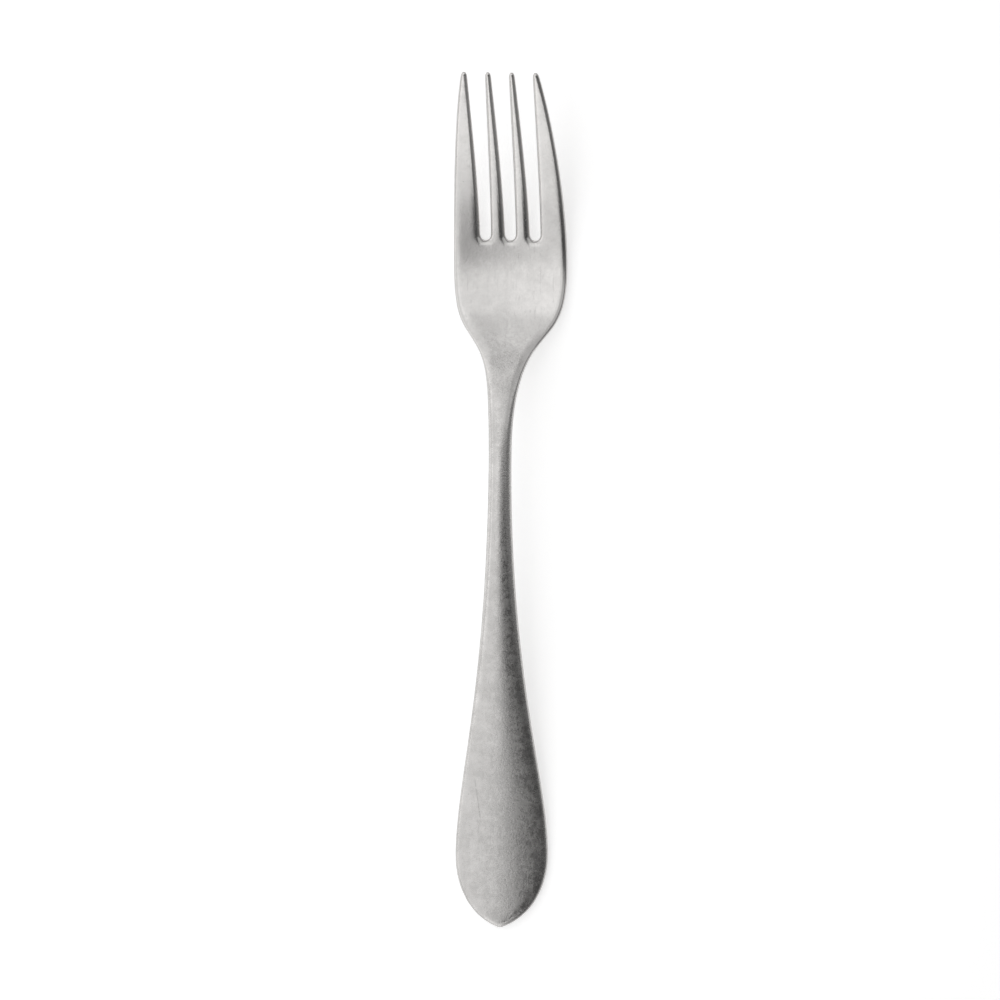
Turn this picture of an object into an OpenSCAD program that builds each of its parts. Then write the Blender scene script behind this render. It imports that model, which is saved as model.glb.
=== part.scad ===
// Serving fork forged from one piece of steel: a crowned handle with a soft point, a slim arched
// neck, and a dished head that runs out into tapered tines. It lies on a table with the tines up
// and rests on the bowl of the head and on the back of the handle.
// X runs across the fork, Y from the handle to the tines, Z up from the table.

/* [Overall] */
// Length seen from above, from the end of the handle to the tine tips
overall_l = 240; // [215:1:270]

/* [Handle] */
// Width at the widest place
handle_w = 26.8; // [20:0.1:32]
// Distance from the end of the handle to its widest place
handle_end_l = 20.5; // [14:0.5:28]
// Angle between the fork's length and the outline at the soft point of the end, in degrees
handle_point = 72; // [55:1:88]
// Run of the outline along that angle
handle_point_l = 10.5; // [5:0.5:11]
// Run of the outline along which it levels out into the widest place
handle_round_l = 7.5; // [3:0.5:13]
// Run of the outline past the widest place before it draws in
handle_swell_l = 20; // [8:1:35]
// Run of the outline along which it straightens into the neck
handle_taper_l = 64; // [40:1:75]
// Thickness in the middle of the widest place
handle_t = 3.2; // [2.6:0.1:4.5]
// Thickness in the middle of the end
handle_end_t = 2.7; // [2.3:0.1:4]
// Thickness at the side, before its edge is rounded
handle_edge_t = 2.1; // [1.2:0.1:2.5]

/* [Neck] */
// Width at the narrowest place
neck_w = 6.5; // [4.5:0.1:9]
// Thickness in the middle of the narrowest place
neck_t = 4; // [3:0.1:5.5]
// Thickness at the side, before its edge is rounded
neck_edge_t = 2.6; // [1.5:0.1:2.9]

/* [Head] */
// Width at the widest place
head_w = 32.7; // [27:0.1:40]
// Distance from the tine tips back to the widest place
head_l = 54; // [48:0.5:62]
// Run of the outline past the widest place before the sides lean in
head_side_l = 20; // [8:1:30]
// Distance from the widest place of the head back to the narrowest place of the neck
shoulder_l = 54; // [44:1:66]
// Run of the outline past the neck before it opens into the shoulders
shoulder_neck_l = 46; // [25:1:50]
// Run of the outline along which the shoulders round into the sides
shoulder_head_l = 31; // [15:1:40]
// Thickness of the head
head_t = 2.2; // [1.6:0.1:3]
// Height of the sides above the middle, which fades out towards the tine tips
head_dish = 0.6; // [0.2:0.1:1.6]

/* [Tines] */
// Number of tines
tine_count = 4; // [3:1:5]
// Distance from the tine tips back to the ends of the slots
tine_l = 47; // [35:0.5:52]
// Width of a slot at its round end
slot_w = 3; // [2:0.1:4.2]
// How late the slots open out towards the tips: 1 for evenly, more for later
slot_flare = 1.4; // [1:0.1:2]
// Distance between the slots at their round ends
slot_pitch = 7.1; // [6:0.1:8]
// Distance between the tine tips
tip_pitch = 6.8; // [5.5:0.1:7.2]
// Width of a tine where its tip starts to round off
tip_w = 1.7; // [1:0.1:2.2]
// Length over which a tip rounds off
tip_l = 1.1; // [0.5:0.1:2]
// Thickness of a tine at its tip
tip_t = 1.4; // [0.9:0.1:1.9]
// Angle by which the outer sides lean in at the tips, in degrees
toe_in = 14; // [4:1:24]
// Run of the outline along which it takes up that angle
toe_l = 11; // [5:1:20]

/* [Side profile] */
// Height by which the end of the handle turns up from the table
handle_lift = 1.2; // [0:0.1:5]
// Run of the handle that lies level past its widest place
handle_flat_l = 15; // [5:1:30]
// Run along which the handle levels out into the arch of the neck
handle_rise_l = 46; // [20:1:60]
// Height of the arch above the table, at the middle of the metal
neck_h = 12.6; // [6:0.1:20]
// Distance from the tine tips back to the top of the arch
arch_l = 100; // [90:1:110]
// Run of the arch before it drops to the bowl
arch_front_l = 13; // [5:1:20]
// Distance from the tine tips back to the lowest place of the bowl
bowl_l = 60; // [54:0.5:70]
// Run along which the drop levels out into the bowl
bowl_back_l = 15; // [5:1:20]
// Run of the bowl before it rises to the tines
bowl_front_l = 20; // [8:1:30]
// Height of the tine tips above the table, at the middle of the metal
tip_h = 22; // [12:0.5:30]
// Slope of the tines at their tips, in degrees
tip_slope = 25; // [10:1:40]
// Run along which the tines take up that slope
tip_run_l = 20; // [8:1:30]

/* [Edges] */
// Reach of the rounding along the handle
handle_edge_r = 1.6; // [0.6:0.1:2.4]
// Reach of the rounding along the neck
neck_edge_r = 1.9; // [0.8:0.1:2.2]
// Reach of the rounding along the head and in the slots
head_edge_r = 1.4; // [0.4:0.1:1.8]
// Width of the flat left at the end of the handle and of each tine
end_flat = 0.5; // [0.3:0.1:0.9]

/* [Hidden] */
steel = [0.76, 0.76, 0.75];

// Places along the fork, measured from the end of the handle
head_u = overall_l - head_l;
neck_u = head_u - shoulder_l;
arch_u = overall_l - arch_l;
bowl_u = overall_l - bowl_l;
tip_u = overall_l - tip_l;
slot_r = slot_w / 2;
root_u = overall_l - tine_l + slot_r;

// Curves: cubic, drawn between two ends by the two points that pull them
curve_steps = 32;
function mix(a, b, t) = a + (b - a) * t;
function pulled(a, pull_a, pull_b, b, t) =
  pow(1 - t, 3) * a + 3 * t * pow(1 - t, 2) * pull_a + 3 * t * t * (1 - t) * pull_b + pow(t, 3) * b;
function curve(a, pull_a, pull_b, b) =
  [for (k = [0:curve_steps - 1]) pulled(a, pull_a, pull_b, b, k / curve_steps)];

// A curve that leaves a level and reaches b level
function level_curve(a, run_a, run_b, b) = curve(a, a + [run_a, 0], b - [run_b, 0], b);

// A value that eases from one stop to the next, where each stop is a place along the fork and a value
function ease(t) = t * t * (3 - 2 * t);
function eased(stops, u, k = 0) =
  u <= stops[k][0] || k == len(stops) - 1 ? stops[k][1] :
  u >= stops[k + 1][0] ? eased(stops, u, k + 1) :
  mix(stops[k][1], stops[k + 1][1], ease((u - stops[k][0]) / (stops[k + 1][0] - stops[k][0])));

// Outline seen from above: half the width against the place along the fork
tip_half = (tine_count - 1) / 2 * tip_pitch + tip_w / 2;
outline = concat(
  curve([0, end_flat / 2], [0, end_flat / 2] + handle_point_l * [cos(handle_point), sin(handle_point)],
        [handle_end_l - handle_round_l, handle_w / 2], [handle_end_l, handle_w / 2]),
  level_curve([handle_end_l, handle_w / 2], handle_swell_l, handle_taper_l, [neck_u, neck_w / 2]),
  level_curve([neck_u, neck_w / 2], shoulder_neck_l, shoulder_head_l, [head_u, head_w / 2]),
  curve([head_u, head_w / 2], [head_u + head_side_l, head_w / 2],
        [overall_l - toe_l, tip_half + toe_l * tan(toe_in)], [overall_l, tip_half]),
  [[overall_l, tip_half]]);
function half_w(u) = lookup(u, outline);

// Spine seen from the side: height of the middle of the metal against the place along the fork
bowl_z = head_t / 2;
rest_z = handle_t / 2;
// The lift of the handle's end is a plain parabola, so its pulls sit at the thirds
spine = concat(
  curve([0, rest_z + handle_lift], [handle_end_l / 3, rest_z + handle_lift / 3],
        [handle_end_l * 2 / 3, rest_z], [handle_end_l, rest_z]),
  level_curve([handle_end_l, rest_z], handle_flat_l, handle_rise_l, [arch_u, neck_h]),
  level_curve([arch_u, neck_h], arch_front_l, bowl_back_l, [bowl_u, bowl_z]),
  curve([bowl_u, bowl_z], [bowl_u + bowl_front_l, bowl_z],
        [overall_l - tip_run_l, tip_h - tip_run_l * tan(tip_slope)], [overall_l, tip_h]),
  [[overall_l, tip_h]]);
slope_step = 0.5;
function spine_slope(u) =
  atan((lookup(u + slope_step, spine) - lookup(u - slope_step, spine)) /
       (min(u + slope_step, overall_l) - max(u - slope_step, 0)));

// Section: thickness in the middle, and how far the upper face and the back fall off at the sides
// The handle's back is flat from side to side, so that the fork does not rock on it
handle_crown = handle_t - handle_edge_t;
neck_crown = (neck_t - neck_edge_t) / 2;
thickness = [
  [0, handle_end_t], [handle_end_l, handle_t], [neck_u, neck_t],
  [bowl_u, head_t], [root_u, head_t], [overall_l, tip_t]];
top_crown = [[handle_end_l, handle_crown], [neck_u, neck_crown], [bowl_u, -head_dish], [overall_l, 0]];
back_crown = [[handle_end_l, 0], [neck_u, neck_crown], [bowl_u, head_dish], [overall_l, 0]];
edge_reach = [[handle_end_l, handle_edge_r], [neck_u, neck_edge_r], [bowl_u, head_edge_r]];
// Share of that fall: 0 along the middle, 1 along the outline, and all round the end of the handle
function fall(x, u) =
  u < handle_end_l ? pow(x / (handle_w / 2), 2) + pow(1 - u / handle_end_l, 2) : pow(x / half_w(u), 2);

// Tines and slots, counted from the left
function tip_x(tine) = (tine - (tine_count - 1) / 2) * tip_pitch;
function slot_x(slot) = (slot - (tine_count - 2) / 2) * slot_pitch;
function down_tine(u) = pow(max(0, u - root_u) / (overall_l - root_u), slot_flare);
function slot_left(slot, u) = mix(slot_x(slot) - slot_r, tip_x(slot) + tip_w / 2, down_tine(u));
function slot_right(slot, u) = mix(slot_x(slot) + slot_r, tip_x(slot + 1) - tip_w / 2, down_tine(u));
function tine_left(tine, u) = tine == 0 ? -half_w(u) : slot_right(tine - 1, u);
function tine_right(tine, u) = tine == tine_count - 1 ? half_w(u) : slot_left(tine, u);
function tine_half(tine, u) =
  let (half = (tine_right(tine, u) - tine_left(tine, u)) / 2)
  u <= tip_u ? half : max(end_flat / 2, half * sqrt(1 - pow((u - tip_u) / tip_l, 2)));

// The fork is drawn as a grid seen from above. Its columns run from the handle to the tips: some
// belong to a tine, as [tine, side, share of the edge's rounding], and some to a slot, as [slot, angle
// round the slot's end].
edge_shares = [0, 0.15, 0.5, 1];
// The rounding takes at most this share of half a tine, so the columns never cross
most_rounding = 0.8;
tine_places = concat(
  [for (share = edge_shares) [-1, share]], [[0, 1]],
  [for (k = [len(edge_shares) - 1:-1:0]) [1, edge_shares[k]]]);
slot_angles = [-60:30:60];
columns = [
  for (k = [0:tine_count - 1]) each concat(
    [for (place = tine_places) [k, place[0], place[1]]],
    k < tine_count - 1 ? [for (angle = slot_angles) [k, angle]] : [])];
function in_slot(column) = len(column) == 2;
function tine_x(column, u) =
  let (half = tine_half(column[0], u), inset = column[2] * min(head_edge_r, most_rounding * half))
  (tine_left(column[0], u) + tine_right(column[0], u)) / 2 + column[1] * (half - inset);
function root_x(column) =
  in_slot(column) ? slot_x(column[0]) + slot_r * sin(column[1]) : tine_x(column, root_u);

// Its rows run from side to side. Each is a place along the fork, and the share by which it bends
// round the ends of the slots. The last rows before the slots bend more and more: each of these is
// the distance before the slots, in slot radii, and the bend.
root_bends = [[2.4, 0], [1.5, 0.3], [0.8, 0.6], [0.33, 0.85], [0, 1]];
crotch_u = root_u - root_bends[0][0] * slot_r;
end_rows = 9;
handle_rows = 16;
shoulder_rows = 16;
tine_rows = 14;
tip_angles = [0:30:90];
function spread(from, to, count) = [for (k = [0:count - 1]) [mix(from, to, k / count), 0]];
body_rows = concat(
  [for (k = [0:end_rows - 1]) [handle_end_l * (1 - cos(90 * k / end_rows)), 0]],
  spread(handle_end_l, neck_u, handle_rows),
  spread(neck_u, crotch_u, shoulder_rows),
  [for (bend = root_bends) [root_u - bend[0] * slot_r, bend[1]]]);
rows = concat(
  body_rows,
  [for (k = [1:tine_rows - 1]) [mix(root_u, tip_u, k / tine_rows), 1]],
  [for (angle = tip_angles) [tip_u + tip_l * sin(angle), 1]]);
root_row = len(body_rows) - 1;
last_row = len(rows) - 1;
last_column = len(columns) - 1;

// Place of a grid point along and across the fork
function grid_u(row, column) = row[0] - (in_slot(column) ? row[1] * slot_r * cos(column[1]) : 0);
function grid_x(column, u) =
  u > root_u && !in_slot(column) ? tine_x(column, u) : root_x(column) * half_w(u) / half_w(root_u);

// Distance from a point of the metal to the nearest edge, seen from above
function side_gap(x, u) =
  let (lean = (half_w(u + slope_step) - half_w(u - slope_step)) / (2 * slope_step))
  (half_w(u) - abs(x)) / sqrt(1 + lean * lean);
function slot_gap(slot, x, u) =
  u > root_u ? max(slot_left(slot, u) - x, x - slot_right(slot, u)) :
  norm([x - slot_x(slot), u - root_u]) - slot_r;
function edge_gap(x, u) =
  max(0, min(side_gap(x, u), u, overall_l - u, min([for (s = [0:tine_count - 2]) slot_gap(s, x, u)])));
function on_edge(row, column) =
  row == 0 || row == last_row || column == 0 || column == last_column ||
  (row >= root_row && (in_slot(columns[column]) || columns[column][2] == 0));

// The upper face and the back follow the spine and meet in a round edge along the outline
function rounded(gap, reach) = gap >= reach ? 1 : sqrt(1 - pow(1 - gap / reach, 2));
function skin_point(row, column, face) =
  let (
    u = grid_u(rows[row], columns[column]),
    x = grid_x(columns[column], u),
    top = eased(thickness, u) / 2 - eased(top_crown, u) * fall(x, u),
    back = -eased(thickness, u) / 2 + eased(back_crown, u) * fall(x, u),
    fullness = on_edge(row, column) ? 0 : rounded(edge_gap(x, u), eased(edge_reach, u)),
    off_spine = (top + back) / 2 + face * fullness * (top - back) / 2,
    slope = spine_slope(u))
  [x, u - overall_l / 2 - off_spine * sin(slope), lookup(u, spine) + off_spine * cos(slope)];

// A cell of the grid is metal unless it lies in a slot
function is_metal(row, column) =
  row < root_row || !(in_slot(columns[column]) || in_slot(columns[column + 1]));
// Each cell is two triangles, cut so that every triangle on an end has a corner inside the outline
function cut_forward(row, column) = row < root_row ? column < last_column / 2 : columns[column][1] >= 0;
function cell(row, column, first) =
  let (
    a = first + row * len(columns) + column,
    b = a + len(columns))
  cut_forward(row, column) ? [[a, b, b + 1], [a, b + 1, a + 1]] : [[a, b, a + 1], [b, b + 1, a + 1]];
function turned(faces) = [for (f = faces) [f[2], f[1], f[0]]];

module fork() {
  grid_points = len(rows) * len(columns);
  skin = [
    for (face = [1, -1], row = [0:last_row], column = [0:last_column]) skin_point(row, column, face)];
  faces = [
    for (row = [0:last_row - 1], column = [0:last_column - 1]) if (is_metal(row, column))
      each concat(cell(row, column, 0), turned(cell(row, column, grid_points)))];
  color(steel) polyhedron(skin, faces, convexity = 6);
}

fork();
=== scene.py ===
# %% [markdown]
# # A stonewashed serving fork
# The fork is one piece of stainless steel, and its sizes come from the packed CAD model. This lesson
# gives that model a smooth skin and the finish of the real fork: steel that was tumbled with stones
# until its polish turned into a fine grey mottle. Everything is in metres, the tines point along +Y,
# and the table is the plane where Z is 0.

# %% Load the packed fork
import math
import bmesh
import bpy
from mathutils import Euler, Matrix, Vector


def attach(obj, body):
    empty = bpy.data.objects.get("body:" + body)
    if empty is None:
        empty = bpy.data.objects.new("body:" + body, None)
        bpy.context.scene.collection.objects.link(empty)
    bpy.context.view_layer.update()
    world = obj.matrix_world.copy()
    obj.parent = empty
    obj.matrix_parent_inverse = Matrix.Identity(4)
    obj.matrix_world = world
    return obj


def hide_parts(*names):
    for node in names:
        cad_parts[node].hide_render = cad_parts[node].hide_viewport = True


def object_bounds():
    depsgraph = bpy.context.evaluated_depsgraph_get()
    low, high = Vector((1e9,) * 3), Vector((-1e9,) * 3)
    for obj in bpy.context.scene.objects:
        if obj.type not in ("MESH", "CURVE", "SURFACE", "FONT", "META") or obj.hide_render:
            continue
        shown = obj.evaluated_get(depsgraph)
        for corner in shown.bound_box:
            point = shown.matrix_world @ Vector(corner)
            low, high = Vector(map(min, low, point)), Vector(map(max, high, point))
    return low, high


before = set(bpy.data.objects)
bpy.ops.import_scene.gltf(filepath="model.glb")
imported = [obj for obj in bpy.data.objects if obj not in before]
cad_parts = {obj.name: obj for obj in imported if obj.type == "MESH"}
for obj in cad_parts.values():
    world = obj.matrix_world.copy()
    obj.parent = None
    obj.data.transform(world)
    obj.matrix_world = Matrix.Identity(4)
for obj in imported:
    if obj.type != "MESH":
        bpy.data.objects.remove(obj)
cad_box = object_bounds()
fork_size = cad_box[1] - cad_box[0]
print("CAD box in millimetres:", [round(1000 * side, 2) for side in fork_size])

# %% [markdown]
# ## The fork's skin
# A real fork is blanked from a steel sheet, rolled thin towards the tines, pressed to shape and then
# ground until no edge is left sharp. The CAD model has that shape, but in flat triangles, and steel
# shows every facet. One could model the fork again from curves, but then two shapes would have to
# agree. So the skin starts as a copy of the CAD mesh: its loose triangles are merged at their corners,
# paired into the four-sided faces of the grid they were cut from, and rounded by a Subdivision Surface,
# which likes such a grid best.

# %% Merge the triangles and pair them into a grid
MERGE_DISTANCE = 1e-6
ANY_ANGLE = math.pi
GRID_PULL = 3.0


def merged_grid(cad_mesh):
    """A bmesh of the CAD skin, closed, with most of its triangles paired into four-sided faces."""
    grid = bmesh.new()
    grid.from_mesh(cad_mesh)
    bmesh.ops.remove_doubles(grid, verts=grid.verts, dist=MERGE_DISTANCE)
    bmesh.ops.join_triangles(
        grid, faces=grid.faces, angle_face_threshold=ANY_ANGLE,
        angle_shape_threshold=ANY_ANGLE, topology_influence=GRID_PULL)
    for face in grid.faces:
        face.smooth = True
    return grid


skin_grid = merged_grid(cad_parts["fork"].data)
four_sided = sum(len(face.verts) == 4 for face in skin_grid.faces)
open_edges = sum(not edge.is_manifold for edge in skin_grid.edges)
print("faces:", len(skin_grid.faces), "four-sided:", four_sided, "open edges:", open_edges)

# %% Make the skin an object and round it
SMOOTH_LEVELS = 2


def object_from(shape, name):
    """Makes a bmesh an object at the origin, and frees the bmesh."""
    mesh = bpy.data.meshes.new(name)
    shape.to_mesh(mesh)
    shape.free()
    new_object = bpy.data.objects.new(name, mesh)
    bpy.context.scene.collection.objects.link(new_object)
    return new_object


fork_skin = object_from(skin_grid, "fork_skin")
rounding = fork_skin.modifiers.new("rounding", "SUBSURF")
rounding.levels = SMOOTH_LEVELS
rounding.render_levels = SMOOTH_LEVELS

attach(fork_skin, "root")
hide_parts("fork")

# The first level makes one face of each corner, and every later level makes four of one.
print("skin faces after rounding:", len(fork_skin.data.loops) * 4 ** (SMOOTH_LEVELS - 1))

# %% [markdown]
# ## A way to write shader sums
# A finish is a sum of patterns, and sums are easier to read as sums than as wires. The class below
# wraps one socket of a node tree, so that `1 - mask` or `dents * 0.5` adds the Math node for it. Every
# other node comes from its one method, which takes the node's type, its settings and what its sockets
# get: a number, a colour or another wire.

# %% Wrap a socket so that it can be used in sums


class Wire:
    """One output socket of a node tree."""

    def __init__(self, tree, socket=None):
        self.tree = tree
        self.socket = socket

    def node(self, kind, settings=None, sockets=None, output=0):
        """Adds a node, sets its settings first and then its sockets, and returns one of its outputs."""
        node = self.tree.nodes.new(kind)
        for name, value in (settings or {}).items():
            setattr(node, name, value)
        for name, value in (sockets or {}).items():
            if isinstance(value, Wire):
                self.tree.links.new(value.socket, node.inputs[name])
            else:
                node.inputs[name].default_value = value
        return Wire(self.tree, node.outputs[output] if node.outputs else None)

    def beside(self, output):
        """Another output of the node that this wire comes from."""
        return Wire(self.tree, self.socket.node.outputs[output])

    def math(self, operation, first, second):
        """A Math node on two wires, or on a wire and a number."""
        return self.node("ShaderNodeMath", {"operation": operation}, {0: first, 1: second})

    def __add__(self, other):
        return self.math("ADD", self, other)

    def __radd__(self, other):
        return self.math("ADD", other, self)

    def __sub__(self, other):
        return self.math("SUBTRACT", self, other)

    def __rsub__(self, other):
        return self.math("SUBTRACT", other, self)

    def __mul__(self, other):
        return self.math("MULTIPLY", self, other)

    def __rmul__(self, other):
        return self.math("MULTIPLY", other, self)


print("a wire's methods:", [name for name in vars(Wire) if not name.startswith("__")])

# %% Add helpers for patterns, colours and materials
# A Mix node has sockets for every kind of data. These are the ones for colours.
MIX_SHARE, MIX_FIRST, MIX_SECOND = 0, 6, 7
MIX_RESULT = 2


def noise(place, scale, detail, harshness):
    """Soft random blotches, 0 to 1, of about one over the scale in metres."""
    return place.node("ShaderNodeTexNoise", {"noise_dimensions": "3D"}, {
        "Vector": place, "Scale": scale, "Detail": detail, "Roughness": harshness})


def ramp(value, low, high):
    """0 where the value is below low, 1 above high, with soft ends between."""
    return value.node("ShaderNodeMapRange", {"interpolation_type": "SMOOTHSTEP"}, {
        "Value": value, "From Min": low, "From Max": high})


def blend(share, first, second):
    """One colour that goes over into another as the share goes from 0 to 1."""
    return share.node("ShaderNodeMix", {"data_type": "RGBA"}, {
        MIX_SHARE: share, MIX_FIRST: first, MIX_SECOND: second}, MIX_RESULT)


def bare_material(name):
    """A new material with no nodes in it."""
    material = bpy.data.materials.new(name)
    material.use_nodes = True
    material.node_tree.nodes.clear()
    return material


print("shader helpers: noise, ramp, blend, bare_material")

# %% [markdown]
# ## Stonewashed steel
# In the tumbler, ceramic stones knock millions of small dents into the steel, so that its polish turns
# into a satin with a fine mottle of about a millimetre and less. Where the stones struck harder the
# steel is rougher and a little greyer, and the dents tilt its face, so that a dark reflection gets light
# specks and a bright one stays almost even. The rims, which stones strike from two sides, are roughest;
# their colour is made greyest as painted shade, a painted reflection of the dark round them. The hollow
# of the head is struck less, since the stones hardly fit into it. Other marks are from grinding and use:
# fine hairlines along the fork and a shallow scratch on the left of the handle. All this could be painted
# as a picture, but patterns in object coordinates have no seams and stay sharp at any distance.

# %% Tell the head's hollow and the rims from the rest
HEAD_STARTS, HEAD_HOLLOW = 0.02, 0.055
HOLLOW_SHELTER = 0.6
# The square of the upward part of the normal from which steel counts as face or back
BROAD_FACE = 0.6


def stones_reach(place):
    """1 where the stones strike freely, and less in the hollow of the head."""
    along = place.node("ShaderNodeSeparateXYZ", sockets={0: place}, output="Y")
    return 1 - ramp(along, HEAD_STARTS, HEAD_HOLLOW) * HOLLOW_SHELTER


# Painted shade: the steel's sideways edges are greyed in colour to stand for the dark that rims reflect.
def rim_shade_and_wear_share(place):
    """1 where the steel faces sideways, as on its edges, and 0 on its face and back: the mask for painted
    shade and roughness.
    """
    facing_up = place.node("ShaderNodeSeparateXYZ", sockets={0: place.beside("Normal")}, output="Z")
    return 1 - ramp(facing_up * facing_up, 0.0, BROAD_FACE)


print("stones strike the hollow with a share of", round(1 - HOLLOW_SHELTER, 2))

# %% Draw the scratch
SCRATCH_FROM, SCRATCH_TO = (-0.0055, -0.0912), (-0.0075, -0.0775)
SCRATCH_HALF_WIDTH = 0.00025
SCRATCH_FADE = 0.002
BACK_ENDS, FACE_STARTS = 0.0015, 0.0025


def handle_scratch(place):
    """1 in one shallow scratch on the left of the handle's face, 0 elsewhere."""
    across = place.node("ShaderNodeSeparateXYZ", sockets={0: place}, output="X")
    along = across.beside("Y")
    upwards = across.beside("Z")
    slant = (SCRATCH_TO[0] - SCRATCH_FROM[0]) / (SCRATCH_TO[1] - SCRATCH_FROM[1])
    off_line = across - SCRATCH_FROM[0] - (along - SCRATCH_FROM[1]) * slant
    half_widths = off_line * (1 / SCRATCH_HALF_WIDTH)
    line = 1 - ramp(half_widths * half_widths, 0.0, 1.0)
    begun = ramp(along, SCRATCH_FROM[1], SCRATCH_FROM[1] + SCRATCH_FADE)
    ended = ramp(along, SCRATCH_TO[1] - SCRATCH_FADE, SCRATCH_TO[1])
    return line * begun * (1 - ended) * ramp(upwards, BACK_ENDS, FACE_STARTS)


print("scratch in millimetres:", round(1000 * math.dist(SCRATCH_FROM, SCRATCH_TO), 1))

# %% Scatter the marks
SPECKLE_PER_METRE = 1900
DENTS_PER_METRE = 900
BLOTCHES_PER_METRE = 330
CLOUDS_PER_METRE = 90
HAIRLINES_PER_METRE = (2600, 70, 2600)
# Detail and harshness of the noise
FINE, BROAD, PLAIN = (4, 0.7), (3, 0.6), (1, 0.5)
# Levels of the noise between which a mark fades in
STRUCK_LEVELS, BLOTCH_LEVELS, CLOUD_LEVELS = (0.34, 0.66), (0.35, 0.65), (0.35, 0.7)
HAIRLINE_LEVELS, SCRATCHED_LEVELS = (0.62, 0.74), (0.35, 0.5)


def tumbler_marks(place):
    """The finish's patterns by name: the height of its dents, and marks from 0, none, to 1, full."""
    reach = stones_reach(place)
    dents = noise(place, DENTS_PER_METRE, *FINE)
    mottle = (noise(place, SPECKLE_PER_METRE, *FINE) + dents) * 0.5
    lengthwise = place.node("ShaderNodeMapping", sockets={"Vector": place, "Scale": HAIRLINES_PER_METRE})
    return {
        "height": mottle * reach,
        "struck": ramp(mottle, *STRUCK_LEVELS) * reach,
        "blotches": ramp(noise(place, BLOTCHES_PER_METRE, *BROAD), *BLOTCH_LEVELS) * reach,
        "clouds": ramp(noise(place, CLOUDS_PER_METRE, *BROAD), *CLOUD_LEVELS),
        "hairlines": ramp(noise(lengthwise, 1.0, *PLAIN), *HAIRLINE_LEVELS),
        "scratch": handle_scratch(place) * ramp(dents, *SCRATCHED_LEVELS),
        # The rims' mark greys their colour as painted shade, and also roughens them.
        "rim_shade_and_wear": rim_shade_and_wear_share(place)}


print("speckle in millimetres:", round(1000 / SPECKLE_PER_METRE, 2))

# %% Make the stonewashed finish
CLEAN_STEEL = (0.68, 0.666, 0.654, 1)
STRUCK_STEEL = (0.5, 0.49, 0.48, 1)
CLEAN_ROUGHNESS = 0.15
DENT_DEPTH = 5e-5
# How far each mark takes the colour from clean to struck steel
# The rims' share of 1.0 is painted shade: it greys the edges' colour for the dark they reflect.
GREYED_BY = {
    "struck": 0.3, "blotches": 0.3, "clouds": 0.2, "hairlines": 0.25, "scratch": 0.6, "rim_shade_and_wear": 1.0}
# How much roughness each mark adds
ROUGHENED_BY = {"struck": 0.12, "blotches": 0.06, "clouds": 0.03, "hairlines": 0.06, "rim_shade_and_wear": 0.05}


def weighed(marks, weights):
    """The sum of the marks, each times its weight."""
    return sum(marks[name] * weight for name, weight in weights.items())


def stonewashed_steel():
    material = bare_material("stonewashed_steel")
    place = Wire(material.node_tree).node("ShaderNodeTexCoord", output="Object")
    marks = tumbler_marks(place)
    tilt = place.node("ShaderNodeBump", sockets={
        "Strength": 1.0, "Distance": DENT_DEPTH, "Height": marks["height"]})
    steel = place.node("ShaderNodeBsdfPrincipled", sockets={
        "Base Color": blend(weighed(marks, GREYED_BY), CLEAN_STEEL, STRUCK_STEEL),
        "Metallic": 1.0,
        "Roughness": CLEAN_ROUGHNESS + weighed(marks, ROUGHENED_BY),
        "Normal": tilt})
    place.node("ShaderNodeOutputMaterial", sockets={"Surface": steel})
    return material


fork_skin.data.materials.append(stonewashed_steel())
print("finish nodes:", len(fork_skin.data.materials[0].node_tree.nodes))

# %% [markdown]
# ## The table
# The table is a plain pale sheet. It takes the fork's shadow as any sheet of paper would, and gives off
# a little light of its own to the camera and to the steel, so that it comes out white round the shadow
# without more light on the fork. Farther off, where the lamps hardly reach, it gives off more, so that
# it is white to its edge when one looks across it. Two sheets, one near and one far, would show a seam,
# so one sheet goes over from the one glow to the other with the distance from the fork.

# %% Lay the table
TABLE_HALF = 6.0
TABLE_WHITE = (0.85, 0.85, 0.85, 1)
TABLE_GLOW = 0.5
GLOW_GROWS_FROM, GLOW_FULL_AT = 0.2, 0.7

table_grid = bmesh.new()
bmesh.ops.create_grid(table_grid, x_segments=1, y_segments=1, size=TABLE_HALF)
table = object_from(table_grid, "table")


def pale_table():
    material = bare_material("pale_table")
    place = Wire(material.node_tree).node("ShaderNodeTexCoord", output="Object")
    distance = place.node("ShaderNodeVectorMath", {"operation": "LENGTH"}, {0: place}, "Value")
    glow_share = TABLE_GLOW + ramp(distance, GLOW_GROWS_FROM, GLOW_FULL_AT) * (1 - TABLE_GLOW)
    camera_ray = place.node("ShaderNodeLightPath", output="Is Camera Ray")
    glossy_ray = camera_ray.beside("Is Glossy Ray")
    glass_ray = camera_ray.beside("Is Transmission Ray")
    seen = (camera_ray + glossy_ray + glass_ray) * glow_share
    sheet = place.node("ShaderNodeBsdfDiffuse", sockets={"Color": TABLE_WHITE})
    glow = place.node("ShaderNodeEmission", sockets={"Strength": 1.0})
    lit = place.node("ShaderNodeMixShader", sockets={0: seen, 2: glow})
    both = place.node("ShaderNodeAddShader", sockets={0: sheet, 1: lit})
    place.node("ShaderNodeOutputMaterial", sockets={"Surface": both})
    return material


table.data.materials.append(pale_table())
print("table sides in metres:", 2 * TABLE_HALF)

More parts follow.
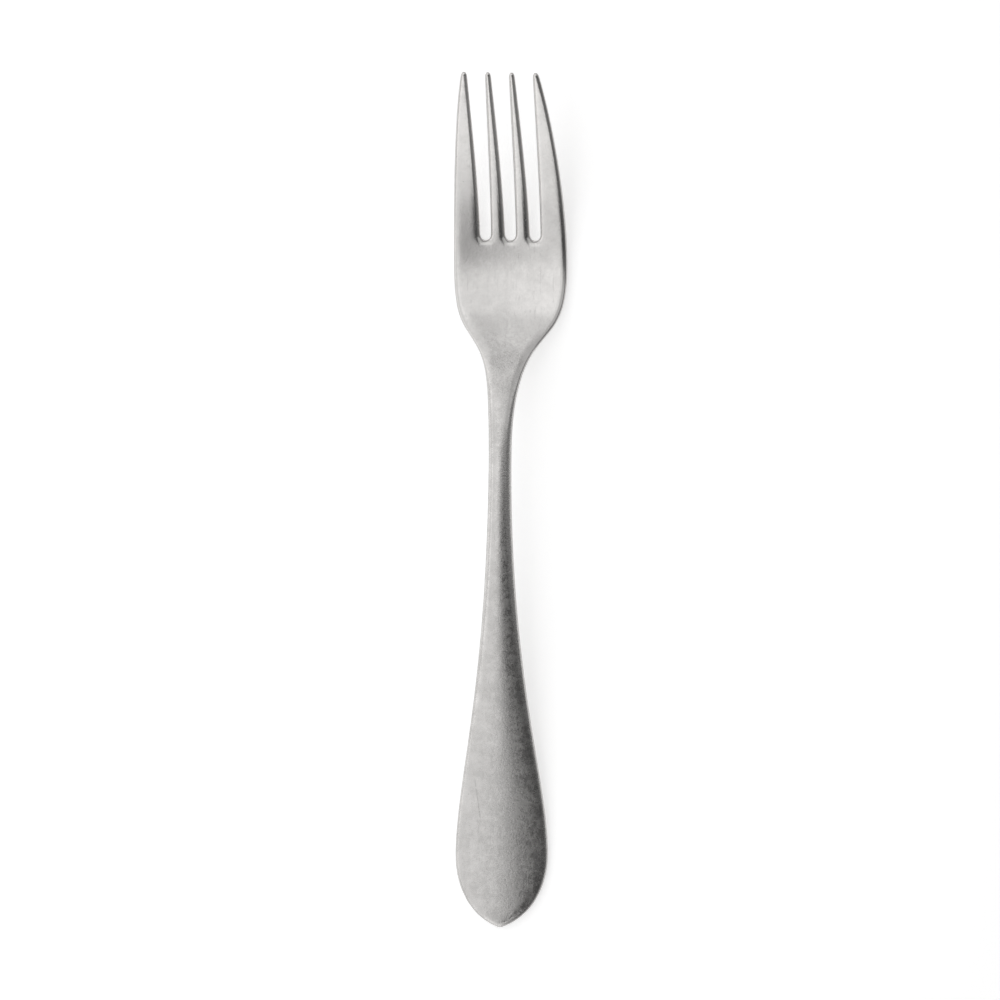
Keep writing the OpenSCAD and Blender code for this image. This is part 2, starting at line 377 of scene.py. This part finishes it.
# %% [markdown]
# ## The light
# Steel has hardly a colour of its own: it shows what stands round it. The fork in the photograph is
# bright on its left and dark on its right, its tines, which lean back towards the handle, are bright all
# over, and the middle of its head is brightest. So soft lights hang above it: a large one over its left
# side, with a dimmer strip along its edge, as a lamp's cloth is dimmer there, one beyond the handle's end
# for the tines to face, a small one over the head and a dim one over the right of the head. Lights that
# overlap hang at different heights, because two in one plane don't add up. Above the right side of the
# handle it stays dark. The sky is white at the horizon, as in a studio with pale walls, greyer to the
# right, where the fork's rims are darker, and dark overhead. A picture of a studio wrapped round the
# scene could light the fork too, but a lamp can be moved or dimmed by itself.

# %% Hang the soft lights
LIGHT_HEIGHT = 0.526
HEIGHT_STEP = 0.02
STRIP_LEFT = -0.097
SIDE_FRONT, SIDE_BACK = -0.343, 0.7


def hang_softbox(name, height, radiance, left, right, front, back):
    """A rectangle of even light that faces down, between two places along X and two along Y."""
    light = bpy.data.lights.new(name, "AREA")
    light.shape = "RECTANGLE"
    light.size = right - left
    light.size_y = back - front
    light.energy = radiance * math.pi * light.size * light.size_y
    softbox = bpy.data.objects.new(name, light)
    softbox.location = ((left + right) / 2, (front + back) / 2, height)
    softbox.visible_camera = False
    bpy.context.scene.collection.objects.link(softbox)
    print(name, "watts:", round(light.energy, 3))


hang_softbox("left_light", LIGHT_HEIGHT, radiance=0.87,
             left=-1.4, right=STRIP_LEFT, front=SIDE_FRONT, back=SIDE_BACK)
hang_softbox("edge_light", LIGHT_HEIGHT, radiance=0.42,
             left=STRIP_LEFT, right=-0.045, front=SIDE_FRONT, back=SIDE_BACK)
hang_softbox("tine_light", LIGHT_HEIGHT, radiance=0.965,
             left=-0.86, right=0.138, front=-1.29, back=SIDE_FRONT)
hang_softbox("head_light", LIGHT_HEIGHT - HEIGHT_STEP, radiance=0.3,
             left=-0.21, right=0.017, front=-0.067, back=0.333)
hang_softbox("right_light", LIGHT_HEIGHT + HEIGHT_STEP, radiance=0.545,
             left=-0.068, right=0.9, front=-0.03, back=0.6)

# %% Make the sky
# Where the sky is darkest, between 0 at the horizon and 1 overhead
DARK_FROM = 0.82
PALE_WALL = (0.97, 0.97, 0.97, 1)
GREY_WALL = (0.28, 0.28, 0.28, 1)
DARK_TOP = (0.063, 0.063, 0.063, 1)

sky = bpy.data.worlds.new("studio")
bpy.context.scene.world = sky
sky.use_nodes = True
sky.node_tree.nodes.clear()
direction = Wire(sky.node_tree).node("ShaderNodeTexCoord", output="Generated")
to_right = direction.node("ShaderNodeSeparateXYZ", sockets={0: direction}, output="X")
upwards = to_right.beside("Z")
walls = blend(ramp(to_right, 0.0, 1.0), PALE_WALL, GREY_WALL)
sky_colour = blend(ramp(upwards, 0.0, DARK_FROM), walls, DARK_TOP)
sky_light = direction.node("ShaderNodeBackground", sockets={"Color": sky_colour, "Strength": 1.0})
direction.node("ShaderNodeOutputWorld", sockets={"Surface": sky_light})
print("sky nodes:", len(sky.node_tree.nodes))

# %% [markdown]
# ## The camera
# The photograph looks almost straight down, from a little to the fork's right, with a long lens and the
# fork turned by about one degree. The camera below stands there. It could be pushed about by eye until
# the outlines agree, but angles with names can be read and changed one at a time. Its lens follows from
# its distance and from how many pixels of the picture one metre at the fork takes up.

# %% Set up the camera
PICTURE_SIDE = 1000
PIXELS_PER_METRE = 3565
AIM = Vector((0, 0, 0.008))
AIM_PIXEL = (502.6, 500.4)
LEAN_RIGHT = math.radians(11.5)
LEAN_DOWN = math.radians(-1.0)
TURN = math.radians(0.93)
CAMERA_DISTANCE = 5.85

camera_data = bpy.data.cameras.new("camera")
camera_data.lens = camera_data.sensor_width * CAMERA_DISTANCE * PIXELS_PER_METRE / PICTURE_SIDE
camera = bpy.data.objects.new("camera", camera_data)
camera.rotation_mode = "ZXY"
camera.rotation_euler = Euler((LEAN_DOWN, LEAN_RIGHT, TURN), "ZXY")
axes = camera.rotation_euler.to_matrix()
middle_pixel = PICTURE_SIDE / 2
off_centre = Vector((middle_pixel - AIM_PIXEL[0], AIM_PIXEL[1] - middle_pixel, 0)) / PIXELS_PER_METRE
camera.location = AIM + axes @ (off_centre + Vector((0, 0, CAMERA_DISTANCE)))
bpy.context.scene.collection.objects.link(camera)
bpy.context.scene.camera = camera
print("lens in millimetres:", round(camera_data.lens, 1))
print("camera at:", [round(place, 3) for place in camera.location])

# %% [markdown]
# ## Finish
# The view transform is set to Standard, so that a colour comes out of the render as it was written.

# %% Set the view transform
bpy.context.scene.view_settings.view_transform = "Standard"
